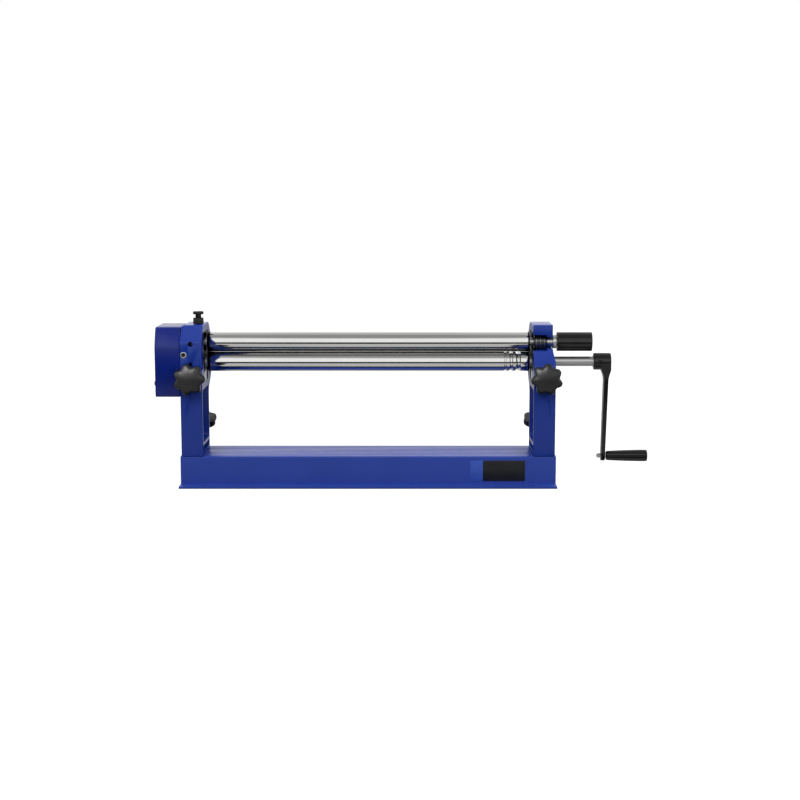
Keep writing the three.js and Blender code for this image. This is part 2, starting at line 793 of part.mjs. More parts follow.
function addUpperRoll() {
  const leftEnd = pivotX - journalPastPivot;
  const roll = turned([
    [leftEnd, journalRadius],
    [-rollFace / 2, journalRadius],
    ...barrel(false),
    [rollFace / 2, upperShaftRadius],
    [upperShaftEnd, upperShaftRadius],
  ], X, at(0, 0, 0), rollSides);
  const socket = rod(leftEnd - past, leftEnd + socketDepth, socketRadius, X, at(0, 0, 0), hexSides);
  add(upperRollGroup, 'upper_roll', cut(roll, socket), polishedSteel);
  const sleeveStart = frameInner + sleeveInset;
  const ring = sleeveLength / sleeveRings;
  const stations = [];
  for (let i = 0; i < sleeveRings; i += 1) {
    const start = sleeveStart + i * ring;
    stations.push([start, sleeveRadius], [start + ring * 0.7, sleeveRadius]);
    stations.push([start + ring * 0.85, sleeveRadius - sleeveRingDepth]);
  }
  stations.push([sleeveStart + sleeveLength, sleeveRadius]);
  const bore = rod(sleeveStart - past, sleeveStart + sleeveLength + past, upperShaftRadius + running);
  add(upperRollGroup, 'release_sleeve', cut(turned(stations), bore), blackSteel);
  const neckStart = sleeveEnd + 2 * neckRoom;
  const collar = turned([
    [neckStart, neckRadius - chamfer],
    [neckStart + chamfer, neckRadius],
    [collarStart, neckRadius],
    [collarStart, collarRadius - chamfer],
    [collarStart + chamfer, collarRadius],
    [collarStart + collarLength - chamfer, collarRadius],
    [collarStart + collarLength, collarRadius - chamfer],
  ]);
  const collarBore = rod(neckStart - past, collarStart + collarLength + past, upperShaftRadius + seat);
  add(upperRollGroup, 'handle_collar', cut(collar, collarBore), turnedSteel);
  const handle = turned([
    [handleStart, handleRadius - handleEdge],
    [handleStart + handleEdge, handleRadius],
    [handleStart + handleLength - handleEdge, handleRadius],
    [handleStart + handleLength, handleRadius - handleEdge],
  ]);
  const handleBore = rod(handleStart - past, upperShaftEnd + running, upperShaftRadius + running);
  add(upperRollGroup, 'release_handle', cut(handle, handleBore), blackPlastic);
}

// A spur gear with its bore; the phase turns a tooth or a gap to the mesh point.
function gear(phase) {
  const pitch = (2 * Math.PI) / gearTeeth;
  const shape = new THREE.Shape();
  for (let i = 0; i < gearTeeth; i += 1) {
    const middle = i * pitch + phase;
    const root = toothRootWidth / 2 / gearRootRadius;
    const tip = toothTipWidth / 2 / gearTipRadius;
    const corners = [
      [middle - root, gearRootRadius],
      [middle - tip, gearTipRadius],
      [middle + tip, gearTipRadius],
      [middle + root, gearRootRadius],
    ];
    corners.forEach(([turn, reach], k) => {
      const move = i === 0 && k === 0 ? 'moveTo' : 'lineTo';
      shape[move](reach * Math.cos(turn), reach * Math.sin(turn));
    });
  }
  shape.closePath();
  const blank = alongX(shape, -gearStart, -gearEnd);
  return cut(blank, rod(-gearEnd - past, -gearStart + past, gearSeatRadius + seat));
}

const gearNut = () => cut(
  rod(-gearEnd - seat - gearNutHeight, -gearEnd - seat, gearNutRadius, X, at(0, 0, 0), hexSides),
  rod(-gearEnd - gearNutHeight - seat - past, -gearEnd + past, gearThreadRadius + seat),
);

// The upper gear's stub shaft ends in a six-sided ball inside the roll's socket, so the roll can swing.
function addUpperDrive() {
  const bushEnd = pivotX - swivelRadius - stubBushGap;
  const ballSteps = 6;
  const ball = [];
  for (let i = 1; i < ballSteps; i += 1) {
    const turn = (i / ballSteps) * Math.PI;
    ball.push([pivotX + ballRadius * Math.cos(turn), ballRadius * Math.sin(turn)]);
  }
  const neck = rod(bushEnd - past, pivotX - ballRadius / 2, stubNeckRadius);
  const shaft = turned([
    [-gearEnd - gearNutHeight - threadPastNut, gearThreadRadius],
    [-gearEnd, gearThreadRadius],
    [-gearEnd, gearSeatRadius],
    [bushEnd, gearSeatRadius],
  ]);
  const stub = join(shaft, neck, turned(ball.reverse(), X, at(0, 0, 0), hexSides));
  add(upperRollGroup, 'upper_stub_shaft', stub, turnedSteel);
  add(upperRollGroup, 'stub_bush', bush(stubBushRadius, gearSeatRadius, -frameOuter, bushEnd), bronze);
  add(upperRollGroup, 'upper_gear', gear(Math.PI / gearTeeth), gearSteel);
  add(upperRollGroup, 'upper_gear_nut', gearNut(), blackSteel);
}

function addLowerRoll() {
  const shoulder = gearStart - seat;
  const roll = turned([
    [-gearEnd - gearNutHeight - threadPastNut, gearThreadRadius],
    [-gearEnd, gearThreadRadius],
    [-gearEnd, gearSeatRadius],
    [-shoulder, gearSeatRadius],
    [-shoulder, journalRadius],
    [-rollFace / 2, journalRadius],
    ...barrel(true),
    [rollFace / 2, journalRadius],
    [frameInner + guideDepth, journalRadius],
    [frameInner + guideDepth, crankShaftRadius],
    [hubEnd - crankHubFloor, crankShaftRadius],
  ], X, at(0, 0, 0), rollSides);
  add(lowerRollGroup, 'lower_roll', roll, polishedSteel);
  add(lowerRollGroup, 'lower_gear', gear(0), gearSteel);
  add(lowerRollGroup, 'lower_gear_nut', gearNut(), blackSteel);
}

// The wedge and the block above it share one sloping face, a seat apart.
function wedgeFace(x, y, low, lift) {
  const z = (along) => blockFootZ + wedgeRise * along + lift;
  return alongX(outline([[y[0], low], [y[0], z(y[0])], [y[1], z(y[1])], [y[1], low]]), x[0], x[1]);
}

function addLowerCarriage() {
  for (const [name, side] of Object.entries(sides)) {
    const inner = side * (frameInner + guide);
    const outer = side * (frameInner + guide + blockLength);
    const half = blockHalfWidth - guide;
    const topZ = lowerAxisZ + lowerBlockHalfHeight;
    const bearing = cut(
      block([inner, outer], [-half, half], [wedgeFloorZ, topZ]),
      wedgeFace([inner - side, outer + side], [-half - past, half + past], wedgeFloorZ - past, 0),
      rod(inner - side, outer + side, bushRadius + seat, X, at(0, 0, lowerAxisZ)),
    );
    add(machine, `${name}_lower_block`, bearing, castIron);
    add(lowerRollGroup, `${name}_lower_bush`, bush(bushRadius, journalRadius, inner, outer), bronze);
    const span = [-wedgeHalfLength, wedgeHalfLength];
    const wedge = cut(
      wedgeFace([inner, outer], span, wedgeFloorZ, -seat),
      rod(span[0] - past, span[1] + past, frontScrewRadius + running, Y, at(side * screwX, 0, frontScrewZ)),
    );
    add(machine, `${name}_wedge`, wedge, turnedSteel);
  }
}

// A star knob standing on its seat at local height zero, along a direction.
function starKnob(direction, origin, shaftRadius, degrees) {
  const start = THREE.MathUtils.degToRad(degrees);
  const steps = knobLobes * knobStepsPerLobe;
  const ring = (height, radius, hollow) => Array.from({ length: steps }, (_, i) => {
    const turn = (i / steps) * 2 * Math.PI;
    const reach = radius - hollow * (0.5 - 0.5 * Math.cos(knobLobes * turn)) ** knobLobePower;
    return at(reach * Math.cos(start + turn), height, reach * Math.sin(start + turn));
  });
  const top = knobHubLength + knobBodyLength;
  const body = loft([
    ring(0, knobHubRadius, 0),
    ring(knobHubLength, knobHubRadius + 1, 0),
    ring(knobHubLength, knobRadius - 2, knobLobeDepth),
    ring(knobHubLength + 2, knobRadius, knobLobeDepth),
    ring(top - 8, knobRadius - 0.5, knobLobeDepth),
    ring(top - 4, knobRadius - 3.5, knobLobeDepth * 0.8),
    ring(top, knobRadius * 0.5, knobLobeDepth * 0.2),
  ]);
  const blind = rod(-past, top - knobCrown + seat, shaftRadius + seat, Y);
  const geometry = cut(body, blind);
  geometry.applyQuaternion(new THREE.Quaternion().setFromUnitVectors(Y, direction));
  return geometry.translate(origin.x, origin.y, origin.z);
}

function addFrontScrews() {
  const knobGrip = knobHubLength + knobBodyLength - knobCrown;
  for (const [name, side] of Object.entries(sides)) {
    const axis = at(side * screwX, 0, frontScrewZ);
    const screw = turned([
      [wallFrontY - seat - knobGrip, frontScrewRadius],
      [wedgePocketFrontY + seat, frontScrewRadius],
      [wedgePocketFrontY + seat, frontCollarRadius],
      [wedgePocketFrontY + seat + frontCollarLength, frontCollarRadius],
      [wedgePocketFrontY + seat + frontCollarLength, frontScrewRadius],
      [wedgeHalfLength + wedgeBack, frontScrewRadius],
    ], Y, axis);
    add(machine, `${name}_front_screw`, screw, blackSteel);
    const knobOrigin = at(side * screwX, wallFrontY - seat, frontScrewZ);
    const knob = starKnob(FORWARD, knobOrigin, frontScrewRadius, knobTurns[name]);
    add(machine, `${name}_front_knob`, knob, blackPlastic);
  }
}

function addRearCarriage() {
  const rearJournalEnd = frameInner + blockLength;
  const roll = turned([
    [-rearJournalEnd, journalRadius],
    [-rollFace / 2, journalRadius],
    ...barrel(true),
    [rollFace / 2, journalRadius],
    [rearJournalEnd, journalRadius],
  ], X, at(0, 0, 0), rollSides);
  add(rearGroup, 'rear_roll', roll, polishedSteel);
  const knobTop = rearKnobReach - (knobHubLength + knobBodyLength) / 2;
  for (const [name, side] of Object.entries(sides)) {
    const inner = side * (frameInner + guide);
    const outer = side * (frameInner + guide + blockLength);
    const half = rearBlockHalfWidth - guide;
    const axis = at(side * screwX, 0, 0);
    const bearing = cut(
      block([inner, outer], [-half, half], [-rearBlockHalfHeight, rearBlockHalfHeight]),
      rod(inner - side, outer + side, bushRadius + seat),
      rod(-rearBlockHalfHeight - past, -rearBlockHalfHeight + rearScrewSocket, rearScrewRadius + seat, Z, axis),
    );
    add(rearGroup, `${name}_rear_block`, bearing, castIron);
    add(rearGroup, `${name}_rear_bush`, bush(bushRadius, journalRadius, inner, outer), bronze);
    const tip = -rearBlockHalfHeight + rearScrewSocket - seat;
    const screwFoot = -(knobTop + knobHubLength + knobBodyLength - knobCrown);
    const screw = rod(screwFoot, tip, rearScrewRadius, Z, axis);
    add(rearGroup, `${name}_rear_screw`, screw, blackSteel);
    const knobOrigin = at(side * screwX, 0, -knobTop);
    const knob = starKnob(DOWN, knobOrigin, rearScrewRadius, knobTurns[name]);
    add(rearGroup, `${name}_rear_knob`, knob, blackPlastic);
  }
}

// The arm is what a side outline and a front outline have in common, with the hub joined on.
function crankArm() {
  const foot = gripZ - armFootHalfWidth;
  const under = -crankHubRadius;
  const armOuter = hubEnd - armTopInset;
  const sideways = outline([
    [hubEnd, 0],
    [hubEnd, under],
    [armOuter, under - armNeckDrop, armNeckRound],
    [armOuter - armLean, foot],
    [armOuter - armLean - armFootThickness, foot],
    [armOuter - armThickness, under - armNeckDrop, armNeckRound],
    [hubEnd - armRootThickness, under],
    [hubEnd - armRootThickness, 0],
  ]);
  const front = outline([
    [-armRootHalfWidth, 0],
    [-armRootHalfWidth, under],
    [-armNeckHalfWidth, under - armNeckDrop, armNeckRound],
    [-armFootHalfWidth, gripZ + armTaperRise],
    [-armFootHalfWidth, foot, armFootRound],
    [armFootHalfWidth, foot, armFootRound],
    [armFootHalfWidth, gripZ + armTaperRise],
    [armNeckHalfWidth, under - armNeckDrop, armNeckRound],
    [armRootHalfWidth, under],
    [armRootHalfWidth, 0],
  ]);
  const arm = common(
    alongY(sideways, -crankHubRadius, crankHubRadius),
    alongX(front, hubStart - past, hubEnd + past),
  );
  const hub = turned([
    [hubStart, crankHubRadius - crankHubEdge],
    [hubStart + crankHubEdge, crankHubRadius],
    [hubEnd - crankHubEdge, crankHubRadius],
    [hubEnd, crankHubRadius - crankHubEdge],
  ]);
  const gripAxis = at(0, 0, gripZ);
  return cut(
    join(hub, arm),
    rod(hubStart - past, hubEnd - crankHubFloor + seat, crankShaftRadius + seat),
    rod(crankShaftRadius, crankHubRadius + past, setScrewRadius + seat, FORWARD, at(setScrewX, 0, 0)),
    rod(hubStart, hubEnd + past, gripThreadRadius + seat, X, gripAxis),
  );
}

function addCrank() {
  add(lowerRollGroup, 'crank_arm', crankArm(), blackPlastic);
  const screwStart = crankShaftRadius + seat;
  const screw = cut(
    rod(screwStart, crankHubRadius - setScrewSink, setScrewRadius, FORWARD, at(setScrewX, 0, 0)),
    rod(crankHubRadius - setScrewHex, crankHubRadius, setScrewRadius * hexShare, FORWARD, at(setScrewX, 0, 0), hexSides),
  );
  add(lowerRollGroup, 'crank_set_screw', screw, blackSteel);

  const grip = assembly(lowerRollGroup, 0, 0, gripZ);
  const faceOut = hubEnd - armTopInset - armLean + gripLean;
  const faceIn = faceOut - armThickness;
  const shoulderEnd = faceOut + seat + gripShoulder;
  const gripStart = shoulderEnd + seat;
  const gripBore = gripLength - gripBottom;
  const pin = turned([
    [faceIn - seat - gripNutHeight - threadPastNut, gripThreadRadius],
    [faceOut + seat, gripThreadRadius],
    [faceOut + seat, gripPinRadius * 1.5],
    [shoulderEnd, gripPinRadius * 1.5],
    [shoulderEnd, gripPinRadius],
    [gripStart + gripBore - seat, gripPinRadius],
  ]);
  add(grip, 'grip_pin', pin, turnedSteel);
  const nut = cut(
    rod(faceIn - seat - gripNutHeight, faceIn - seat, gripNutRadius, X, at(0, 0, 0), hexSides),
    rod(faceIn - seat - gripNutHeight - past, faceIn + past, gripThreadRadius + seat),
  );
  add(grip, 'grip_nut', nut, turnedSteel);
  const handle = turned([
    [gripStart, gripNeckRadius - 2],
    [gripStart + 2, gripNeckRadius],
    [gripStart + gripLength * 0.25, gripNeckRadius + 0.9],
    [gripStart + gripLength * 0.55, gripEndRadius - 0.3],
    [gripStart + gripLength * 0.8, gripEndRadius],
    [gripStart + gripLength - 2, gripEndRadius],
    [gripStart + gripLength, gripEndRadius - 1.5],
  ]);
  const bore = rod(gripStart - past, gripStart + gripBore, gripPinRadius + running);
  add(grip, 'crank_grip', cut(handle, bore), blackPlastic);
}

addFramesAndBase();
addFootBolts();
addPivot();
addUpperRoll();
addUpperDrive();
addLowerRoll();
addLowerCarriage();
addFrontScrews();
addRearCarriage();
addCrank();

// The part's origin lies on the bench, under the middle of the whole machine.
const part = new THREE.Group();
part.add(machine);
part.updateMatrixWorld(true);
const reach = new THREE.Box3().setFromObject(machine, true);
machine.position.set(-(reach.min.x + reach.max.x) / 2, -(reach.min.y + reach.max.y) / 2, -reach.min.z);
part.updateMatrixWorld(true);

export default part;
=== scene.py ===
# Bench slip roll: the finish of every piece, in metres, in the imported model's frame.
import json
import math

import bpy
from mathutils import Matrix, Vector

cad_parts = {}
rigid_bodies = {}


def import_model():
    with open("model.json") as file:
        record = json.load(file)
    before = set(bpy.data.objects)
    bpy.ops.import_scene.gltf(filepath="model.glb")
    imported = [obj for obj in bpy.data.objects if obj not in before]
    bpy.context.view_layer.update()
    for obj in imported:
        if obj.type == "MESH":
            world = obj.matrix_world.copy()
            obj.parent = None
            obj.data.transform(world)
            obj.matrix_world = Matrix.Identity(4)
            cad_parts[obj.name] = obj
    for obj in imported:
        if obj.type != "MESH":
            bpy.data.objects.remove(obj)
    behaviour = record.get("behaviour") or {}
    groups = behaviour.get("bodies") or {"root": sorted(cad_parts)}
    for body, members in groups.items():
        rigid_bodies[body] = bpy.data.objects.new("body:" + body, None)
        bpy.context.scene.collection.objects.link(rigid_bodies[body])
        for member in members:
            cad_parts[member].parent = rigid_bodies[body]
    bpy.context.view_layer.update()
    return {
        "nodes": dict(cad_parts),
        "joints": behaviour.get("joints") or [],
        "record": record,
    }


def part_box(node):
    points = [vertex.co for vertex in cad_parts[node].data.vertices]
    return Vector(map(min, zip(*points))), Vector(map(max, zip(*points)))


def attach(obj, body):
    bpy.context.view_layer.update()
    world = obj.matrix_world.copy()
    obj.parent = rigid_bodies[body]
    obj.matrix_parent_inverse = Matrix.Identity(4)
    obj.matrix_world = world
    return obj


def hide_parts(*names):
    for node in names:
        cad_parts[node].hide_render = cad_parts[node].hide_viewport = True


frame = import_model()

# Sizes are in millimetres unless they say otherwise.
MM = 0.001
# Clearance of a shaft in its bore, and half the length of the rolls' working face.
SEAT = 0.3
HALF_FACE = 320

X = Vector((1, 0, 0))
Y = Vector((0, 1, 0))
Z = Vector((0, 0, 1))


def middle(node):
    """The middle of a CAD node's box."""
    low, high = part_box(node)
    return (low + high) / 2


def spot(x, y, z):
    """A place in millimetres from mid-roll, the plane of the driven rolls and the bench."""
    return Vector((middle("base_channel").x + x * MM, middle("upper_roll").y + y * MM, z * MM))


def span(node, axis="x"):
    """A CAD node's lowest and highest value on an axis, in millimetres from mid-roll."""
    zero = spot(0, 0, 0)
    low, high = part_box(node)
    return [getattr(corner - zero, axis) / MM for corner in (low, high)]


def body_of(node):
    bodies = frame["record"]["behaviour"]["bodies"]
    return next(body for body, nodes in bodies.items() if node in nodes)


def slot_of(node):
    subparts = frame["record"]["subparts"]
    return next(part["material_slot"] for part in subparts if part["node"] == node)


# Materials

class Socket:
    """A shader socket with arithmetic, so that a pattern reads as an expression."""

    def __init__(self, shader, link):
        self.shader = shader
        self.link = link

    def __add__(self, other):
        return self.shader.maths("ADD", self, other)

    def __sub__(self, other):
        return self.shader.maths("SUBTRACT", self, other)

    def __mul__(self, other):
        return self.shader.maths("MULTIPLY", self, other)

    def __rsub__(self, other):
        return self.shader.maths("SUBTRACT", other, self)

    __radd__ = __add__
    __rmul__ = __mul__


class Shader:
    """A material's Principled surface, or the world's background, and the nodes that feed it."""

    def __init__(self, name="", world=None, **plain):
        self.material = world or bpy.data.materials.new(name)
        self.material.use_nodes = True
        self.tree = self.material.node_tree
        self.surface = self.tree.nodes["Background" if world else "Principled BSDF"]
        for socket, value in plain.items():
            self.surface.inputs[socket.replace("_", " ")].default_value = value
        place = self.tree.nodes.new("ShaderNodeTexCoord")
        self.place = Socket(self, place.outputs["Generated" if world else "Object"])

    def node(self, kind, settings=None, inputs=None, output=0):
        made = self.tree.nodes.new(kind)
        for name, value in (settings or {}).items():
            setattr(made, name, value)
        for name, value in (inputs or {}).items():
            if isinstance(value, Socket):
                self.tree.links.new(value.link, made.inputs[name])
            else:
                made.inputs[name].default_value = value
        return Socket(self, made.outputs[output])

    def maths(self, operation, *values):
        settings = {"operation": operation}
        return self.node("ShaderNodeMath", settings, dict(enumerate(values)))

    def stretched(self, scale):
        """The place stretched along the axes, for noise that runs in rings or lines."""
        return self.node("ShaderNodeMapping", inputs={"Vector": self.place, "Scale": scale})

    def noise(self, scale, detail=2.0, place=None):
        inputs = {"Vector": place or self.place, "Scale": scale, "Detail": detail}
        return self.node("ShaderNodeTexNoise", inputs=inputs)

    def mix(self, factor, first, second):
        inputs = {0: factor, 6: first, 7: second}
        return self.node("ShaderNodeMix", {"data_type": "RGBA"}, inputs, output=2)

    def spread(self, value, low, high, to_low, to_high, smooth="LINEAR"):
        """The value's stretch from low to high, spread between two others."""
        inputs = {
            "Value": value, "From Min": low, "From Max": high,
            "To Min": to_low, "To Max": to_high,
        }
        return self.node("ShaderNodeMapRange", {"interpolation_type": smooth}, inputs)

    def ray(self, kind):
        """What the light path says of the ray that sees this."""
        return self.node("ShaderNodeLightPath", output=kind)

    def reflected(self):
        """One for a ray that a shiny or clear surface sends on."""
        return self.maths("MAXIMUM", self.ray("Is Glossy Ray"), self.ray("Is Transmission Ray"))

    def along(self, axis):
        """The place along one of the object's axes, in metres; in the world, the direction."""
        return self.node("ShaderNodeSeparateXYZ", inputs={"Vector": self.place}, output=axis)

    def beyond(self, axis, centre, reach):
        """One where the place lies further than the reach from a centre, and zero inside it."""
        distance = self.maths("ABSOLUTE", self.along(axis) - centre)
        return self.maths("GREATER_THAN", distance, reach)

    def within(self, axis, low, high):
        """One where the place lies between two values on an axis, and zero outside them."""
        above = self.maths("GREATER_THAN", self.along(axis), low)
        return above * self.maths("LESS_THAN", self.along(axis), high)

    def feed(self, **links):
        for name, value in links.items():
            self.tree.links.new(value.link, self.surface.inputs[name.replace("_", " ")])
        return self.material

    def finish(self, colour, rough, relief, strength, distance):
        """The material with its colour, its roughness and a relief of a strength and depth."""
        inputs = {"Height": relief, "Strength": strength, "Distance": distance}
        normal = self.node("ShaderNodeBump", inputs=inputs)
        return self.feed(Base_Color=colour, Roughness=rough, Normal=normal)


def linear(*srgb):
    """An sRGB colour of 0 to 255 as Blender's linear colour."""
    levels = [value / 255 for value in srgb]
    return [v / 12.92 if v <= 0.04045 else ((v + 0.055) / 1.055) ** 2.4 for v in levels] + [1.0]


# Painted shade, near-black, on the side frames round the roll ends, where the bearing
# openings lie in shadow: how far out from mid-roll, and from where to where in depth and in
# height.
PAINTED_SHADE_REACH = HALF_FACE + 14
PAINTED_SHADE_DEPTH = (-25, 50)
PAINTED_SHADE_HEIGHT = (222, 302)


def blue_paint(name, dark, light, orange_peel, gloss=0.16, IOR=1.4, roll_end_shade=False):
    """Deep blue enamel; on the side frames, near-black painted shade round the roll ends."""
    shader = Shader(name, IOR=IOR)
    cloud = shader.noise(9.0, detail=3.0)
    colour = shader.mix(cloud, dark, light)
    rough = shader.noise(60.0) * 0.10 + gloss
    if roll_end_shade:
        outside = shader.beyond(0, spot(0, 0, 0).x, PAINTED_SHADE_REACH * MM)
        depth = shader.within(1, *(spot(0, y, 0).y for y in PAINTED_SHADE_DEPTH))
        height = shader.within(2, *(z * MM for z in PAINTED_SHADE_HEIGHT))
        # Painted shade: near-black on the frames round the roll ends, with a rougher surface
        # there.
        roll_end_shade_mask = (1 - outside) * depth * height
        colour = shader.mix(roll_end_shade_mask, colour, linear(6, 6, 12))
        rough = rough + roll_end_shade_mask * 0.4
    peel = shader.noise(260.0, detail=2.0)
    return shader.finish(colour, rough, peel, orange_peel, 0.0004)


# The stretch at each end of a roll painted near-black as shade beside the side frames, and how far
# to the right both begin.
SHADED_END_WIDTH = 4.8
SHADED_END_SHIFT = 1.4


def polished_steel():
    """Ground rolls: fine rings round the axis, ends painted near-black as shade, and duller turned
    journals.
    """
    shader = Shader("polished_steel", Metallic=1.0)
    rings = shader.noise(1.0, detail=4.0, place=shader.stretched((2600.0, 60.0, 60.0)))
    cloud = shader.noise(14.0, detail=3.0)
    ground = shader.mix(cloud, linear(222, 222, 220), linear(234, 234, 232))
    # Painted shade: a near-black band at each end of the working face, beside the side frames.
    shaded_roll_end = shader.beyond(0, spot(SHADED_END_SHIFT, 0, 0).x, (HALF_FACE - SHADED_END_WIDTH) * MM)
    journal = shader.beyond(0, spot(0, 0, 0).x, (HALF_FACE + 1) * MM)
    face = shader.mix(shaded_roll_end, ground, linear(22, 22, 24))
    colour = shader.mix(journal, face, linear(200, 200, 200))
    rough = rings * 0.03 + cloud * 0.02 + shaded_roll_end * 0.25 + 0.075
    return shader.finish(colour, rough, rings, 0.04, 0.0001)


def turned_steel():
    """Bright steel with the coarser rings of a lathe tool."""
    shader = Shader("turned_steel", Metallic=1.0)
    rings = shader.noise(1.0, detail=3.0, place=shader.stretched((1500.0, 40.0, 40.0)))
    colour = shader.mix(rings, linear(200, 201, 199), linear(228, 229, 226))
    return shader.finish(colour, rings * 0.15 + 0.22, rings, 0.2, 0.00008)


def black_plastic(name, gloss, grain_depth):
    """Moulded black plastic: satin and finely grained on the knobs, glossier elsewhere."""
    shader = Shader(name, IOR=1.5)
    grain = shader.noise(900.0, detail=2.0)
    cloud = shader.noise(30.0, detail=2.0)
    colour = shader.mix(cloud, linear(8, 8, 9), linear(15, 15, 16))
    return shader.finish(colour, cloud * 0.08 + gloss, grain, grain_depth, 0.0001)


def black_steel():
    """Black oxide on turned screws, worn to a dull shine."""
    shader = Shader("black_steel", Metallic=0.75)
    cloud = shader.noise(120.0, detail=4.0)
    colour = shader.mix(cloud, linear(34, 34, 34), linear(62, 61, 60))
    grain = shader.noise(1400.0)
    # Black oxide on turned screws, rubbed down to a dull shine.
    return shader.finish(colour, cloud * 0.2 + 0.3, grain, 0.2, 0.00008)


# Where, along the pitch of the release sleeve's rings, the land ends.
RING_EDGE = 0.66


def ringed_steel(start, pitch):
    """Black oxide with a bright band along the edge of each ring, partly wear and partly a painted
    highlight; start and pitch are in metres.
    """
    shader = Shader("ringed_steel", Metallic=0.9)
    phase = shader.maths("FRACT", (shader.along(0) - start) * (1 / pitch))
    # Painted highlight, partly wear: a bright band along the edge of each ring.
    worn_edge_highlight = shader.maths("COMPARE", phase, RING_EDGE, 0.07)
    colour = shader.mix(worn_edge_highlight, linear(92, 92, 92), linear(196, 196, 194))
    grain = shader.noise(1400.0)
    return shader.finish(colour, grain * 0.1 + 0.2, grain, 0.2, 0.00008)


def bright_zinc(axis, socket):
    """Bright zinc, with dirt and shade in the hexagon socket round an axis along Y."""
    shader = Shader("bright_zinc", Metallic=1.0)
    cloud = shader.noise(300.0, detail=3.0)
    across = shader.maths("POWER", shader.along(0) - axis.x, 2.0)
    upwards = shader.maths("POWER", shader.along(2) - axis.z, 2.0)
    inside = shader.maths("LESS_THAN", across + upwards, socket * socket)
    plated = shader.mix(cloud, linear(205, 212, 214), linear(236, 238, 236))
    colour = shader.mix(inside, plated, linear(60, 68, 68))
    return shader.finish(colour, cloud * 0.15 + 0.18, cloud, 0.1, 0.0001)


def bronze():
    """Dull brown bronze of the bushes, darkened as painted shade inside the side frames."""
    shader = Shader("bronze", Metallic=1.0)
    cloud = shader.noise(150.0, detail=3.0)
    # Painted shade: the bushes' brown is darkened, as they sit in shadow inside the side frames.
    colour = shader.mix(cloud, linear(56, 42, 28), linear(82, 63, 40))
    return shader.finish(colour, cloud * 0.2 + 0.3, cloud, 0.15, 0.0001)


def machined_iron(name, dark, light):
    """Milled iron: fine parallel cutter marks and a grey mottle."""
    shader = Shader(name, Metallic=0.9)
    marks = shader.noise(1.0, detail=3.0, place=shader.stretched((80.0, 900.0, 80.0)))
    mottle = shader.noise(90.0, detail=4.0)
    colour = shader.mix(mottle, dark, light)
    return shader.finish(colour, marks * 0.2 + 0.38, marks, 0.25, 0.0001)


def plate_film(name, dark, light, gloss):
    """A blank plate: satin film with a faint waviness."""
    shader = Shader(name, IOR=1.45)
    wave = shader.noise(45.0, detail=2.0)
    return shader.finish(shader.mix(wave, dark, light), wave * 0.1 + gloss, wave, 0.1, 0.0004)


# Half the width of the hexagon socket in the clamp screw, across its corners.
CLAMP_SOCKET = 4.3

frame_blue = (linear(18, 44, 126), linear(26, 54, 141))
sheet_blue = (linear(34, 56, 136), linear(42, 65, 150))
cover_blue = (linear(1, 21, 100), linear(4, 29, 114))
gear_grey = (linear(92, 94, 97), linear(138, 140, 142))
# Painted shade: the cast iron bearing blocks inside the side frames are near-black, as they sit in
# shadow.
iron_in_painted_shade = (linear(12, 12, 14), linear(24, 24, 26))

# One finish for each material slot of the model.
finishes = {
    "blue_paint": blue_paint("blue_paint", *frame_blue, 0.12, roll_end_shade=True),
    "polished_steel": polished_steel(),
    "turned_steel": turned_steel(),
    "black_plastic": black_plastic("black_plastic", 0.15, 0.05),
    "black_steel": black_steel(),
    "bright_zinc": bright_zinc(middle("clamp_screw"), CLAMP_SOCKET * MM),
    "bronze": bronze(),
    "gear_steel": machined_iron("gear_steel", *gear_grey),
    "cast_iron": machined_iron("cast_iron", *iron_in_painted_shade),
}
sheet_paint = blue_paint("sheet_paint", *sheet_blue, 0.06, gloss=0.32)
cover_paint = blue_paint("cover_paint", *cover_blue, 0.05, IOR=1.45)
satin_black = black_plastic("satin_black", 0.32, 0.12)


# Modelling

def deselect():
    bpy.ops.object.select_all(action="DESELECT")


def active(piece):
    deselect()
    piece.select_set(True)
    bpy.context.view_layer.objects.active = piece
    return piece


def face_outwards():
    """Turns every face of the mesh being edited outwards and leaves edit mode."""
    bpy.ops.mesh.select_all(action="SELECT")
    bpy.ops.mesh.normals_make_consistent(inside=False)
    bpy.ops.object.mode_set(mode="OBJECT")


def apply_modifier(piece, kind, **settings):
    active(piece)
    modifier = piece.modifiers.new(kind.title(), kind)
    for name, value in settings.items():
        setattr(modifier, name, value)
    bpy.ops.object.modifier_apply(modifier=modifier.name)


def soften(piece, edge, segments=3, angle=32):
    """Rounds the edges sharper than the angle, then shades smooth up to it."""
    if edge > 0:
        apply_modifier(
            piece, "BEVEL", width=edge * MM, segments=segments, limit_method="ANGLE",
            angle_limit=math.radians(angle), use_clamp_overlap=True,
        )
    active(piece)
    bpy.ops.object.shade_smooth_by_angle(angle=math.radians(angle))
    return piece


def settle(piece, origin=Vector(), direction=Z):
    """Turns a piece modelled up the Z axis to its direction and applies its place."""
    turn = Z.rotation_difference(direction).to_matrix().to_4x4()
    piece.matrix_world = Matrix.Translation(origin) @ turn @ piece.matrix_world
    active(piece)
    bpy.ops.object.transform_apply(location=True, rotation=True, scale=True)
    return piece


def extrude_stations(stations):
    """Extrudes the selected end face through stations of height and scale."""
    height, size = stations[0]
    for next_height, next_size in stations[1:]:
        move = (0, 0, (next_height - height) * MM)
        bpy.ops.mesh.extrude_region_move(TRANSFORM_OT_translate={"value": move})
        ratio = next_size / size
        bpy.ops.transform.resize(value=(ratio, ratio, 1), center_override=(0, 0, next_height * MM))
        height, size = next_height, next_size


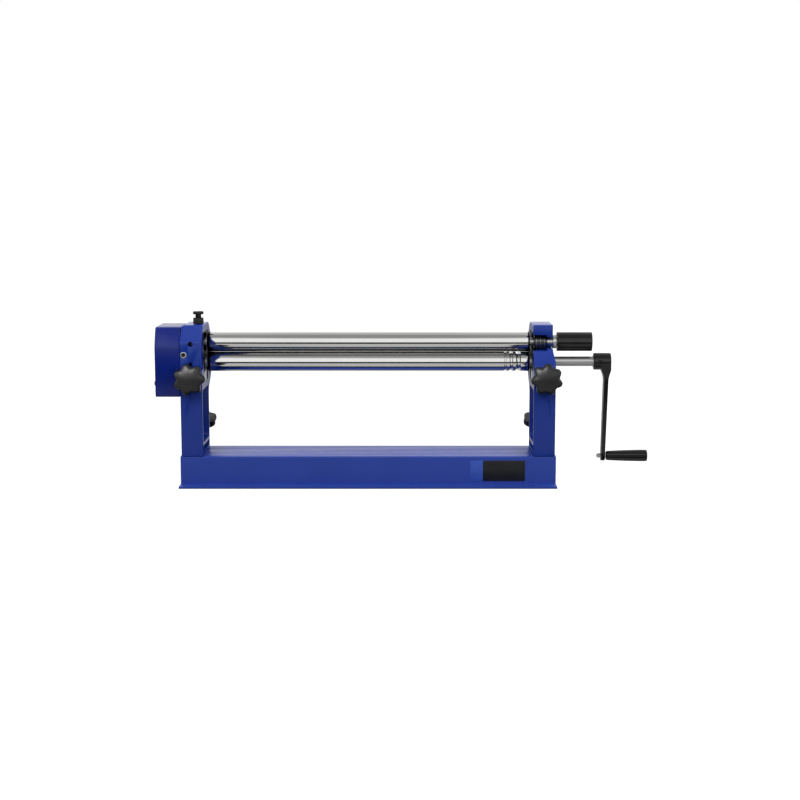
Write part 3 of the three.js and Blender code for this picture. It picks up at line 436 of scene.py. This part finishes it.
def turned(name, stations, origin, direction=X, flats=96):
    """A round piece: stations of distance and radius, in millimetres, along a direction."""
    deselect()
    start, radius = stations[0]
    bpy.ops.mesh.primitive_circle_add(
        vertices=flats, radius=radius * MM, fill_type="NGON", location=(0, 0, start * MM),
    )
    piece = bpy.context.object
    piece.name = name
    bpy.ops.object.mode_set(mode="EDIT")
    extrude_stations(stations)
    face_outwards()
    return settle(piece, origin, direction)


def combine(piece, tool, operation):
    """Joins a tool to a piece or cuts it out, and removes it."""
    apply_modifier(piece, "BOOLEAN", operation=operation, object=tool, solver="EXACT")
    bpy.data.objects.remove(tool)
    return piece


def carve(piece, tool):
    return combine(piece, tool, "DIFFERENCE")


def bore(start, end, radius, origin, direction=X, flats=64):
    return turned("tool", [(start, radius), (end, radius)], origin, direction, flats)


def hexagon(start, end, radius, origin, direction):
    return turned("tool", [(start, radius), (end, radius)], origin, direction, 6)


def dress(piece, node, finish=None):
    """The piece stands for a CAD node: same body, same slot, and the slot's finish or its own."""
    slot = slot_of(node)
    piece.data.materials.clear()
    piece.data.materials.append(finish or finishes[slot])
    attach(piece, body_of(node))
    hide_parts(node)
    return piece


def refined(node, edge, segments=3, finish=None):
    """A finer copy of a casting or a folded sheet: shared corners, flat faces, rounded edges."""
    source = frame["nodes"][node]
    piece = bpy.data.objects.new(f"{node}_finished", source.data.copy())
    bpy.context.scene.collection.objects.link(piece)
    active(piece)
    bpy.ops.object.mode_set(mode="EDIT")
    bpy.ops.mesh.select_all(action="SELECT")
    bpy.ops.mesh.remove_doubles(threshold=0.00001)
    bpy.ops.mesh.dissolve_limited(angle_limit=math.radians(0.5))
    bpy.ops.object.mode_set(mode="OBJECT")
    soften(piece, edge, segments)
    return dress(piece, node, finish)


# Pieces

def castings():
    """The castings and the folded base, with the edge radius of each."""
    refined("left_side_frame", 0.8)
    refined("right_side_frame", 0.8)
    refined("gear_cover", 0.8, finish=cover_paint)
    refined("base_channel", 0.5, finish=sheet_paint)
    refined("crank_arm", 1.2)


ROLL_RADIUS = 19.59
ROLL_EDGE = 0.8
JOURNAL = 9
UPPER_END = 8
# Each wire groove's distance from the right end of the face, its width and its depth.
GROOVES = ((47.5, 4.6, 1.6), (36.2, 6.8, 3.0), (22.1, 9.3, 4.2))
GROOVE_STEPS = 10
# The lower roll's right end: where the shaft for the crank begins, and its radius.
CRANK_SHAFT = (358, 10)


def groove_stations():
    """Round-bottomed wire grooves near the right end."""
    stations = []
    for from_end, width, depth in GROOVES:
        for step in range(GROOVE_STEPS + 1):
            turn = math.pi * step / GROOVE_STEPS
            along = HALF_FACE - from_end - width / 2 * math.cos(turn)
            stations.append((along, ROLL_RADIUS - depth * math.sin(turn)))
    return stations


def barrel(grooved):
    """A roll's working face with rounded edges."""
    return [
        (-HALF_FACE, ROLL_RADIUS - ROLL_EDGE),
        (-HALF_FACE + ROLL_EDGE / 3, ROLL_RADIUS - ROLL_EDGE / 3),
        (-HALF_FACE + ROLL_EDGE, ROLL_RADIUS),
        *(groove_stations() if grooved else ()),
        (HALF_FACE - ROLL_EDGE, ROLL_RADIUS),
        (HALF_FACE - ROLL_EDGE / 3, ROLL_RADIUS - ROLL_EDGE / 3),
        (HALF_FACE, ROLL_RADIUS - ROLL_EDGE),
    ]


def axis_of(node):
    """A point on a turned piece's axis, level with mid-roll."""
    return Vector((spot(0, 0, 0).x, middle(node).y, middle(node).z))


def rolls():
    """The three rolls with their journals; the lower one also carries a gear and the crank."""
    low, high = span("upper_roll")
    upper = turned("upper_roll_finished", [
        (low, JOURNAL), (-HALF_FACE, JOURNAL), *barrel(False),
        (HALF_FACE, UPPER_END), (high, UPPER_END),
    ], axis_of("upper_roll"))
    dress(soften(upper, 0), "upper_roll")
    low, high = span("lower_roll")
    shoulder = span("lower_gear")[1] + SEAT
    lower = turned("lower_roll_finished", [
        (low, 5), (low + 7, 5), (low + 7, 6), (shoulder, 6), (shoulder, JOURNAL),
        (-HALF_FACE, JOURNAL), *barrel(True), (HALF_FACE, JOURNAL),
        (CRANK_SHAFT[0], JOURNAL), CRANK_SHAFT, (high, CRANK_SHAFT[1]),
    ], axis_of("lower_roll"))
    dress(soften(lower, 0), "lower_roll")
    low, high = span("rear_roll")
    rear = turned("rear_roll_finished", [
        (low, JOURNAL), (-HALF_FACE, JOURNAL), *barrel(True),
        (HALF_FACE, JOURNAL), (high, JOURNAL),
    ], axis_of("rear_roll"))
    dress(soften(rear, 0), "rear_roll")


SLEEVE_RINGS = 3
SLEEVE_RADIUS = 15.35
RING_DEPTH = 0.7
COLLAR_NECK = 11.2
COLLAR_HEAD = 13.75
COLLAR_HEAD_LENGTH = 8
HANDLE_RADIUS = 19
HANDLE_BORE_DEPTH = 61


def upper_right_end():
    """The ringed sleeve in the open slot, the bright collar and the black handle."""
    axis = axis_of("upper_roll")
    hole = UPPER_END + SEAT

    low, high = span("release_sleeve")
    ring = (high - low) / SLEEVE_RINGS
    outer, inner = SLEEVE_RADIUS, SLEEVE_RADIUS - RING_DEPTH
    stations = [(low, outer - 0.6), (low + 0.6, outer)]
    for step in range(SLEEVE_RINGS):
        start = low + step * ring
        stations += [(start + ring * RING_EDGE, outer), (start + ring * 0.72, inner)]
        stations += [(start + ring * 0.90, inner), (start + ring * 0.96, outer)]
    stations += [(high - 0.2, outer), (high, outer - 0.2)]
    sleeve = turned("release_sleeve_finished", stations, axis)
    carve(sleeve, bore(low - 1, high + 1, hole, axis))
    finish = ringed_steel(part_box("release_sleeve")[0].x, ring * MM)
    dress(soften(sleeve, 0.15, 2), "release_sleeve", finish)

    low, high = span("handle_collar")
    shoulder = high - COLLAR_HEAD_LENGTH
    collar = turned("handle_collar_finished", [
        (low, 10.4), (low + 0.8, COLLAR_NECK), (shoulder, COLLAR_NECK), (shoulder, 13),
        (shoulder + 0.8, COLLAR_HEAD), (high, COLLAR_HEAD),
    ], axis)
    dress(soften(carve(collar, bore(low - 1, high + 1, hole, axis)), 0.6), "handle_collar")

    low, high = span("release_handle")
    stations = [(low, HANDLE_RADIUS), (high - 1.5, HANDLE_RADIUS)]
    handle = carve(
        turned("release_handle_finished", stations, axis),
        bore(low - 1, low + HANDLE_BORE_DEPTH, hole, axis),
    )
    dress(soften(handle, 1.5, 4), "release_handle")


def screws():
    """The pivot screw and its nut, the clamp screw and the cover's screws."""
    pivot = Vector((middle("pivot_screw").x, middle("pivot_screw").y, 0))
    tip, top = span("pivot_screw", "z")
    screw = turned("pivot_screw_finished", [
        (tip, 5.8), (top - 5.8, 5.8), (top - 5.8, 9.4), (top - 5.2, 10.5),
        (top - 0.9, 10.5), (top, 9.2),
    ], pivot, Z)
    dress(soften(screw, 0.25, 2), "pivot_screw")
    low, high = span("pivot_locknut", "z")
    nut = turned("pivot_locknut_finished", [(low, 10.35), (high, 10.35)], pivot, Z)
    dress(soften(carve(nut, bore(low - 1, high + 1, 6.1, pivot, Z)), 0.8), "pivot_locknut")

    clamp = middle("clamp_screw")
    front, rear = span("clamp_screw", "y")
    axis = Vector((clamp.x, spot(0, 0, 0).y, clamp.z))
    head = turned("clamp_screw_finished", [
        (front, 6.4), (front + 10, 6.4), (front + 10, 3.5), (rear, 3.5),
    ], axis, Y)
    carve(head, hexagon(front - 1, front + 6, CLAMP_SOCKET, axis, Y))
    dress(soften(head, 0.5), "clamp_screw")

    for node in ("cover_screw_lower", "cover_screw_upper"):
        low, high = span(node)
        axis = axis_of(node)
        stations = [(low, 4.8), (low + 3, 4.8), (low + 3, 2.5), (high, 2.5)]
        body = turned(f"{node}_finished", stations, axis)
        dress(soften(carve(body, hexagon(low - 1, low + 1.8, 2.4, axis, X)), 0.5), node)


BOLT_RADIUS = 4
HEAD_RADIUS = 7.5
HEAD_HEIGHT = 5.5


def foot_fasteners():
    """The hexagon bolts that hold the side frames on the deck, and their nuts."""
    for side in ("left", "right"):
        for row in ("front", "rear"):
            bolt = f"foot_bolt_{side}_{row}"
            axis = Vector((middle(bolt).x, middle(bolt).y, 0))
            low, high = span(bolt, "z")
            stations = [(low, BOLT_RADIUS), (high - 1, BOLT_RADIUS)]
            shank = turned(f"{bolt}_finished", stations, axis, Z, 48)
            combine(shank, hexagon(high - HEAD_HEIGHT, high, HEAD_RADIUS, axis, Z), "UNION")
            dress(soften(shank, 0.4, 2), bolt)
            nut = f"foot_nut_{side}_{row}"
            low, high = span(nut, "z")
            body = hexagon(low, high, HEAD_RADIUS, axis, Z)
            body.name = f"{nut}_finished"
            carve(body, bore(low - 1, high + 1, BOLT_RADIUS + SEAT, axis, Z))
            dress(soften(body, 0.4, 2), nut)


KNOB_RADIUS = 31.5
KNOB_LOBES = 7
KNOB_VALLEY = 6.5
# The star's underside stands this high over the bench end of its hub, and is this much smaller.
KNOB_UNDERSIDE = 9
KNOB_UNDERSIDE_SIZE = 0.93
# Height and size of each section from the underside to the top of the dome.
KNOB_SECTIONS = [
    (KNOB_UNDERSIDE, KNOB_UNDERSIDE_SIZE), (9.8, 0.975), (11, 1.0), (17.5, 1.0), (19.5, 0.985),
    (21.5, 0.95), (23.5, 0.89), (25.6, 0.78), (27.3, 0.64), (28.6, 0.48), (29.5, 0.29),
    (29.95, 0.08),
]
KNOB_BORE_DEPTH = 20


def valley(place, phase):
    """How deep the star's outline runs at a place: zero on a lobe, its full share between two."""
    turn = math.atan2(place.y, place.x)
    hollow = 0.5 - 0.5 * math.cos(KNOB_LOBES * (turn - phase))
    return hollow ** 1.3 * KNOB_VALLEY / KNOB_RADIUS


def star_knob(node, origin, direction, shaft, phase):
    """A seven-lobed knob on its hub, whose lobes fade towards the middle of the dome."""
    deselect()
    flats = KNOB_LOBES * 16
    bpy.ops.mesh.primitive_circle_add(vertices=flats, radius=KNOB_RADIUS * MM, fill_type="NGON")
    knob = bpy.context.object
    knob.name = f"{node}_finished"
    for vertex in knob.data.vertices:
        vertex.co *= 1 - valley(vertex.co, phase)
    bpy.ops.object.mode_set(mode="EDIT")
    underside = (0, 0, KNOB_UNDERSIDE * MM)
    size = (KNOB_UNDERSIDE_SIZE, KNOB_UNDERSIDE_SIZE, 1)
    bpy.ops.transform.translate(value=underside)
    bpy.ops.transform.resize(value=size, center_override=underside)
    extrude_stations(KNOB_SECTIONS)
    face_outwards()
    for vertex in knob.data.vertices:
        depth = valley(vertex.co, phase)
        rim = vertex.co.to_2d().length / (1 - depth)
        shrink = (1 - depth * min(1, rim / KNOB_RADIUS / MM) ** 4) / (1 - depth)
        vertex.co.x *= shrink
        vertex.co.y *= shrink
    combine(knob, turned("tool", [(0, 12), (9.5, 12.8)], Vector(), Z, 64), "UNION")
    carve(knob, bore(-1, KNOB_BORE_DEPTH, shaft + SEAT, Vector(), Z, 48))
    soften(knob, 0, angle=40)
    return dress(settle(knob, origin, direction), node, satin_black)


FRONT_SCREW_RADIUS = 4
REAR_SCREW_RADIUS = 5
# Along the rear screws, down from their joint's place: the knob's top and the screw's two ends.
REAR_KNOB_DROP = 124.5
REAR_SCREW_SPAN = (13.8, 143.5)


def knobs():
    """The four star knobs and the inclined rear screws; each side's stars are turned a little."""
    joints = {joint["name"]: joint for joint in frame["joints"]}
    for side, degrees in (("left", 0), ("right", 33)):
        phase = math.radians(degrees)
        node = f"{side}_front_knob"
        back = Vector((middle(node).x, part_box(node)[1].y, middle(f"{side}_front_screw").z))
        star_knob(node, back, -Y, FRONT_SCREW_RADIUS, phase)

        turning = joints[f"{side}_rear_knob_turn"]
        up = Vector(turning["axis"]).normalized()
        pivot = Vector(turning["pos_m"])
        top = pivot - up * REAR_KNOB_DROP * MM
        star_knob(f"{side}_rear_knob", top, -up, REAR_SCREW_RADIUS, phase + math.pi / KNOB_LOBES)
        stations = [(down, REAR_SCREW_RADIUS) for down in REAR_SCREW_SPAN]
        screw = turned(f"{side}_rear_screw_finished", stations, pivot, -up, 64)
        dress(soften(screw, 0.5, 2), f"{side}_rear_screw")


GRIP_BORE = (4.3, 75)


def crank_grip():
    """A tapered grip with a rounded outer end, bored for its pin."""
    axis = axis_of("crank_grip")
    low, high = span("crank_grip")
    grip = turned("crank_grip_finished", [
        (low, 7.6), (low + 1, 8.8), (low + 2.4, 9.5), (low + 12, 10.0), (low + 26, 10.6),
        (low + 42, 11.2), (low + 58, 11.6), (low + 70, 11.8), (high - 2.5, 11.8),
        (high - 1.2, 11.5), (high - 0.4, 10.8), (high, 10.0),
    ], axis)
    radius, depth = GRIP_BORE
    dress(soften(carve(grip, bore(low - 1, low + depth, radius, axis)), 0), "crank_grip")


PLATE_MIDDLE = 30
PLATE_HEIGHT = 41
PLATE_THICKNESS = 0.6
PLATE_STANDS_OUT = 0.35


def nameplates():
    """Two blank plates on the front wall, where the labels sit."""
    wall = span("left_side_frame", "y")[0]
    film_black = plate_film("plate_black", linear(22, 23, 26), linear(30, 31, 34), 0.3)
    film_blue = plate_film("plate_blue", linear(44, 72, 158), linear(54, 84, 170), 0.28)
    for name, left, right, finish in (
        ("nameplate_black", 227.1, 310.2, film_black),
        ("nameplate_blue", 201.5, 226.9, film_blue),
    ):
        deselect()
        centre = spot((left + right) / 2, wall - PLATE_STANDS_OUT, PLATE_MIDDLE)
        bpy.ops.mesh.primitive_cube_add(size=1, location=centre)
        plate = bpy.context.object
        plate.name = name
        plate.scale = ((right - left) * MM, PLATE_THICKNESS * MM, PLATE_HEIGHT * MM)
        bpy.ops.object.transform_apply(location=True, rotation=True, scale=True)
        soften(plate, 0.25, 2)
        plate.data.materials.append(finish)
        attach(plate, "frame")


def carried_over():
    """CAD nodes that stay as they are take their slot's finish."""
    for node, piece in frame["nodes"].items():
        if not piece.hide_render:
            piece.data.materials.clear()
            piece.data.materials.append(finishes[slot_of(node)])


castings()
rolls()
upper_right_end()
screws()
foot_fasteners()
knobs()
crank_grip()
nameplates()
carried_over()


# Camera, light and floor

CAMERA_PLACE = (62.8, -2903.6, 571.9)
CAMERA_PITCH = 8.0
CAMERA_FOCAL_PX = 1462.6
PICTURE_WIDTH_PX = 800


def camera():
    data = bpy.data.cameras.new("camera")
    data.sensor_width = 36
    data.lens = CAMERA_FOCAL_PX / PICTURE_WIDTH_PX * data.sensor_width
    eye = bpy.data.objects.new("camera", data)
    bpy.context.scene.collection.objects.link(eye)
    eye.location = spot(*CAMERA_PLACE)
    eye.rotation_euler = (math.radians(90 - CAMERA_PITCH), 0, 0)
    bpy.context.scene.camera = eye


def lamp(name, place, aim, size, power, mirrored=False):
    """A soft lamp, in metres and watts; shiny surfaces mirror it only where that is asked for."""
    data = bpy.data.lights.new(name, "AREA")
    data.shape = "RECTANGLE"
    data.size, data.size_y = size
    data.energy = power
    light = bpy.data.objects.new(name, data)
    light.visible_glossy = mirrored
    bpy.context.scene.collection.objects.link(light)
    light.location = place
    light.rotation_euler = (Vector(aim) - Vector(place)).to_track_quat("-Z", "Y").to_euler()
    return light


def backdrop():
    """A plain world: soft light on every surface, and white for the eye and reflections.

    Its ceiling is grey, and darker in front than behind. What a reflection shows of another
    reflection is nearly black.
    """
    bpy.context.scene.world = bpy.data.worlds.new("studio")
    sky = Shader(world=bpy.context.scene.world, Color=(1, 1, 1, 1))
    seen = sky.maths("MAXIMUM", sky.ray("Is Camera Ray"), sky.reflected())
    overhead = sky.spread(sky.along(1), -0.1, 0.4, 0.32, 0.6)
    ceiling = sky.spread(sky.along(2), 0.55, 0.78, 1.0, overhead, "SMOOTHSTEP")
    direct = sky.spread(sky.ray("Glossy Depth"), 1.0, 2.0, 1.0, 0.05)
    sky.feed(Strength=sky.spread(seen, 0.0, 1.0, 0.55, ceiling * direct))


FLOOR_SIZE = 14
FLOOR_DROP = 0.0005


def floor():
    """A pale floor, just under the bench flanges, that shows the eye white and a faint shadow."""
    deselect()
    bpy.ops.mesh.primitive_plane_add(size=FLOOR_SIZE, location=(0, 0, -FLOOR_DROP))
    ground = bpy.context.object
    ground.name = "floor"
    shader = Shader("floor", Roughness=0.6, Specular_IOR_Level=0.2, Emission_Strength=0.76)
    camera_ray = shader.ray("Is Camera Ray")
    shown = shader.mix(shader.reflected(), (0, 0, 0, 1), (0.42, 0.42, 0.42, 1))
    shader.feed(
        Base_Color=shader.mix(camera_ray, linear(112, 112, 112), linear(160, 160, 160)),
        Emission_Color=shader.mix(camera_ray, shown, (1, 1, 1, 1)),
    )
    ground.data.materials.append(shader.material)


CARD_LENGTH = 4


def dark_cards():
    """Dark cards in front of the machine, that only reflections show."""
    finish = Shader("dark_card", Base_Color=linear(20, 20, 20), Roughness=0.9).material
    for name, place, height, tilt in (
        ("standing_card", spot(0, -700, 120), 0.21, 90),
        ("lying_card", spot(0, -115, 1), 0.1, 0),
    ):
        deselect()
        bpy.ops.mesh.primitive_plane_add(size=1, location=place)
        card = bpy.context.object
        card.name = name
        card.scale = (CARD_LENGTH, height, 1)
        card.rotation_euler = (math.radians(tilt), 0, 0)
        card.visible_camera = False
        card.visible_diffuse = False
        card.visible_shadow = False
        card.data.materials.append(finish)


def lamps():
    """Soft studio lamps, and in the key's place one for the knobs alone, which mirror it."""
    key = {"place": (-1.22, -2.1, 2.05), "aim": (0, 0, 0.2), "size": (1.2, 1.1)}
    lamp("key", power=36, **key)
    shine = lamp("knob_shine", power=170, mirrored=True, **key)
    lit = bpy.data.collections.new("knobs")
    shine.light_linking.receiver_collection = lit
    for piece in bpy.data.objects:
        if piece.name.endswith("_knob_finished"):
            lit.objects.link(piece)
    lamp("top", (0, -0.5, 2.4), (0, 0, 0), (2.4, 1.2), 26)
    lamp("fill", (2.4, -2.4, 1.6), (0, 0, 0.15), (1.8, 1.4), 34)
    lamp("rear", (0.5, 2.6, 2.2), (0, 0, 0.2), (2.0, 1.0), 22)


camera()
backdrop()
floor()
dark_cards()
lamps()

view = bpy.context.scene.view_settings
view.view_transform = "Standard"
